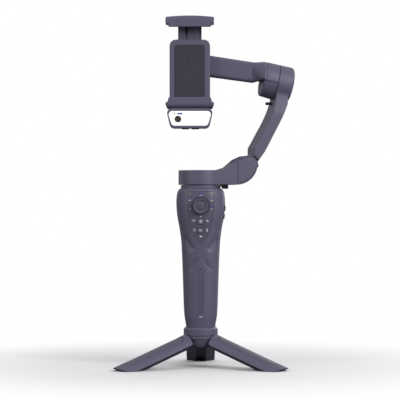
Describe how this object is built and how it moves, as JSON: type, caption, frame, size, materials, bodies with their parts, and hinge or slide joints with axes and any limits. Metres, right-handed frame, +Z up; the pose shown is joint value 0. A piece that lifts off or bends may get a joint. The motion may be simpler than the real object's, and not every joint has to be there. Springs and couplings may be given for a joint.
{
  "type": "smartphone gimbal",
  "caption": "Handheld smartphone gimbal with a waisted grip, joystick keypad, folding motor arm and sprung phone clamp with a light, standing on a small folding tripod.",
  "frame": {"origin": "middle of the standing gimbal's outline, on the floor", "axes": "+Z up along the grip; the keypad and the phone's screen face -Y; the motor arm is on the +X side"},
  "size_m": [0.169, 0.1425, 0.3282],
  "materials": {
    "housing": "fine satin grey-violet",
    "trim": "satin",
    "joystick": "matte",
    "blue_light": "clear tinted",
    "cell": "wrapped in film",
    "board": "satin",
    "steel": "ground",
    "brass": "turned",
    "windings": "lacquered copper",
    "pad": "matte",
    "diffuser": "frosted white",
    "lens": "smoked"
  },
  "bodies": {
    "handle": {"front_shell": "housing", "rear_shell": "housing", "keypad_panel": "trim", "mode_lights": "blue_light", "charge_strip": "trim", "charge_lights": "blue_light", "battery_cell": "cell", "main_board": "board", "joystick_base": "trim", "side_bezel": "trim", "usb_port": "steel", "shell_screws": "steel", "thread_insert": "brass", "neck_ring": "housing", "pan_stator": "windings", "pan_bearings": "steel", "tripod_hub": "housing", "tripod_stud": "steel", "leg_pins": "steel"},
    "joystick_gimbal": {"joystick_yoke": "steel"},
    "joystick": {"joystick_stick": "steel", "joystick_cap": "joystick"},
    "record_button": {"record_key": "housing"},
    "mode_button": {"mode_key": "housing"},
    "zoom": {"zoom_slider": "housing"},
    "power": {"power_button": "housing"},
    "trigger_lever": {"trigger": "trim"},
    "pan_body": {"pan_rotor": "steel", "pan_arm": "housing", "pan_cap": "housing", "knee_covers": "trim", "knee_pin": "steel", "pan_lock": "trim"},
    "knee_body": {"upper_arm": "housing", "tilt_stator": "windings", "arm_stop": "trim"},
    "tilt_body": {"tilt_rotor": "steel", "tilt_cup": "housing", "cross_arm": "housing", "roll_stator": "windings"},
    "roll_body": {"roll_rotor": "steel", "clamp_back": "housing", "back_pad": "pad", "lower_jaw": "housing", "lower_pad": "pad", "guide_rods": "steel", "clamp_springs": "steel", "light_housing": "housing", "light_diffuser": "diffuser", "lens_window": "lens"},
    "jaw_body": {"upper_jaw": "housing", "upper_pad": "pad"},
    "left_light_button": {"light_key_left": "trim"},
    "right_light_button": {"light_key_right": "trim"},
    "leg_1": {"leg_left": "housing", "leg_inset_left": "trim"},
    "leg_2": {"leg_right": "housing", "leg_inset_right": "trim"},
    "leg_3": {"leg_rear": "housing", "leg_inset_rear": "trim"}
  },
  "joints": [
    {"name": "pan_turn", "type": "hinge", "parent": "handle", "child": "pan_body", "pos_m": [-0.00409, -0.01914, 0.17085], "axis": [0, 0, 1], "range_deg": [-150, 150]},
    {"name": "knee_fold", "type": "hinge", "parent": "pan_body", "child": "knee_body", "pos_m": [0.03759, -0.01253, 0.18835], "axis": [0.1564, -0.9877, 0], "range_deg": [0, 32]},
    {"name": "tilt_turn", "type": "hinge", "parent": "knee_body", "child": "tilt_body", "pos_m": [0.06643, -0.00797, 0.26747], "axis": [0.9675, 0.1532, -0.2011], "range_deg": [-90, 90]},
    {"name": "roll_turn", "type": "hinge", "parent": "tilt_body", "child": "roll_body", "pos_m": [-0.01429, -0.01914, 0.28425], "axis": [0, 1, 0], "range_deg": [-90, 90]},
    {"name": "jaw_slide", "type": "slide", "parent": "roll_body", "child": "jaw_body", "axis": [0, 0, 1], "range_m": [-0.013, 0.016], "stiffness_N_per_m": 60, "deforming": ["clamp_springs"]},
    {"name": "joystick_up_down", "type": "hinge", "parent": "handle", "child": "joystick_gimbal", "pos_m": [-0.00409, -0.03462, 0.1512], "axis": [1, 0, 0], "range_deg": [-12, 12], "stiffness_Nm_per_rad": 0.02},
    {"name": "joystick_left_right", "type": "hinge", "parent": "joystick_gimbal", "child": "joystick", "pos_m": [-0.00409, -0.03462, 0.1512], "axis": [0, 0, 1], "range_deg": [-12, 12], "stiffness_Nm_per_rad": 0.02},
    {"name": "record_press", "type": "slide", "parent": "handle", "child": "record_button", "axis": [0, 1, 0], "range_m": [0, 0.0005], "stiffness_N_per_m": 600, "springref_m": -0.0003},
    {"name": "mode_press", "type": "slide", "parent": "handle", "child": "mode_button", "axis": [0, 1, 0], "range_m": [0, 0.0005], "stiffness_N_per_m": 600, "springref_m": -0.0003},
    {"name": "zoom_slide", "type": "slide", "parent": "handle", "child": "zoom", "axis": [0, 0, 1], "range_m": [-0.0015, 0.0015], "stiffness_N_per_m": 300},
    {"name": "power_press", "type": "slide", "parent": "handle", "child": "power", "axis": [-1, 0, 0], "range_m": [0, 0.0005], "stiffness_N_per_m": 600, "springref_m": -0.0003},
    {"name": "trigger_pull", "type": "hinge", "parent": "handle", "child": "trigger_lever", "pos_m": [-0.00409, -0.00374, 0.1554], "axis": [-1, 0, 0], "range_deg": [0, 6], "stiffness_Nm_per_rad": 0.1, "springref_deg": -2.86},
    {"name": "left_light_press", "type": "slide", "parent": "roll_body", "child": "left_light_button", "axis": [0, 0, 1], "range_m": [0, 0.0005], "stiffness_N_per_m": 600, "springref_m": -0.0003},
    {"name": "right_light_press", "type": "slide", "parent": "roll_body", "child": "right_light_button", "axis": [0, 0, 1], "range_m": [0, 0.0005], "stiffness_N_per_m": 600, "springref_m": -0.0003},
    {"name": "leg_1_fold", "type": "hinge", "parent": "handle", "child": "leg_1", "pos_m": [-0.01275, -0.02414, 0.0269], "axis": [0.5, -0.866, 0], "range_deg": [0, 69.5]},
    {"name": "leg_2_fold", "type": "hinge", "parent": "handle", "child": "leg_2", "pos_m": [0.00457, -0.02414, 0.0269], "axis": [0.5, 0.866, 0], "range_deg": [0, 69.5]},
    {"name": "leg_3_fold", "type": "hinge", "parent": "handle", "child": "leg_3", "pos_m": [-0.00409, -0.00914, 0.0269], "axis": [-1, 0, 0], "range_deg": [0, 69.5]}
  ]
}
